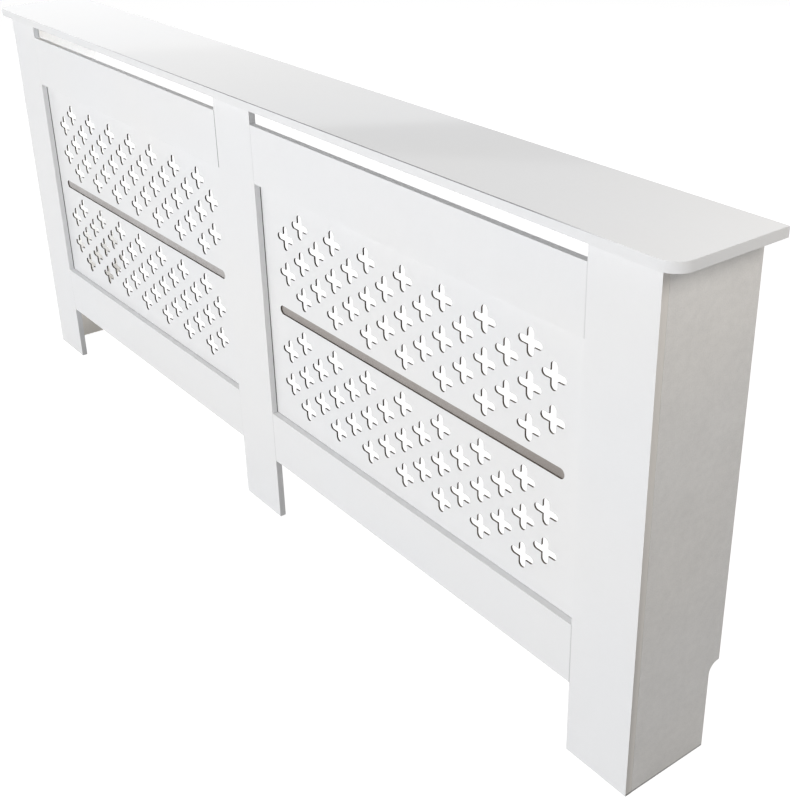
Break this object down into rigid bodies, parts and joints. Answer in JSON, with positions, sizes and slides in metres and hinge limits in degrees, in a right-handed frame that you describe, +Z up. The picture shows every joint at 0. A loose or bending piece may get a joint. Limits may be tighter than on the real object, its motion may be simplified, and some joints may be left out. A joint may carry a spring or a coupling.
{
  "type": "radiator cover cabinet",
  "caption": "Open-backed radiator cover with a framed front, cross-pattern grille panels, a vent gap under its shelf and side panels notched for a skirting board.",
  "frame": {"origin": "on the floor, under the middle of the shelf's outline", "axes": "+X along the cover's length, to the right seen from the front; +Y towards the wall; +Z up"},
  "size_m": [2.05, 0.2, 0.83],
  "materials": {
    "white_paint": "satin white paint on MDF",
    "raw_board": "raw fibreboard, unpainted",
    "softwood": "planed softwood, unfinished",
    "beech": "fluted beech, unfinished",
    "zinc_plate": "bright zinc-plated steel"
  },
  "bodies": {
    "root": {"top_shelf": "white_paint", "left_side_panel": "white_paint", "right_side_panel": "white_paint", "left_stile": "white_paint", "centre_stile": "white_paint", "right_stile": "white_paint", "left_lower_rail": "white_paint", "left_upper_rail": "white_paint", "right_lower_rail": "white_paint", "right_upper_rail": "white_paint", "left_grille_panel": "white_paint", "left_slot_batten": "raw_board", "right_grille_panel": "white_paint", "right_slot_batten": "raw_board", "left_lower_rail_inner_dowel_low": "beech", "left_lower_rail_inner_dowel_high": "beech", "left_lower_rail_outer_dowel_low": "beech", "left_lower_rail_outer_dowel_high": "beech", "left_upper_rail_inner_dowel_low": "beech", "left_upper_rail_inner_dowel_high": "beech", "left_upper_rail_outer_dowel_low": "beech", "left_upper_rail_outer_dowel_high": "beech", "right_lower_rail_inner_dowel_low": "beech", "right_lower_rail_inner_dowel_high": "beech", "right_lower_rail_outer_dowel_low": "beech", "right_lower_rail_outer_dowel_high": "beech", "right_upper_rail_inner_dowel_low": "beech", "right_upper_rail_inner_dowel_high": "beech", "right_upper_rail_outer_dowel_low": "beech", "right_upper_rail_outer_dowel_high": "beech", "left_corner_cleat": "softwood", "left_shelf_cleat": "softwood", "right_corner_cleat": "softwood", "right_shelf_cleat": "softwood", "centre_shelf_block": "softwood", "left_wall_bracket": "zinc_plate", "right_wall_bracket": "zinc_plate", "left_corner_cleat_stile_screw_low": "zinc_plate", "left_corner_cleat_side_screw_low": "zinc_plate", "left_corner_cleat_stile_screw_high": "zinc_plate", "left_corner_cleat_side_screw_high": "zinc_plate", "left_shelf_cleat_screw_front": "zinc_plate", "left_shelf_cleat_screw_back": "zinc_plate", "centre_block_left_screw": "zinc_plate", "left_bracket_screw_front": "zinc_plate", "left_bracket_screw_back": "zinc_plate", "right_corner_cleat_stile_screw_low": "zinc_plate", "right_corner_cleat_side_screw_low": "zinc_plate", "right_corner_cleat_stile_screw_high": "zinc_plate", "right_corner_cleat_side_screw_high": "zinc_plate", "right_shelf_cleat_screw_front": "zinc_plate", "right_shelf_cleat_screw_back": "zinc_plate", "centre_block_right_screw": "zinc_plate", "right_bracket_screw_front": "zinc_plate", "right_bracket_screw_back": "zinc_plate", "centre_block_stile_screw": "zinc_plate"}
  },
  "joints": []
}
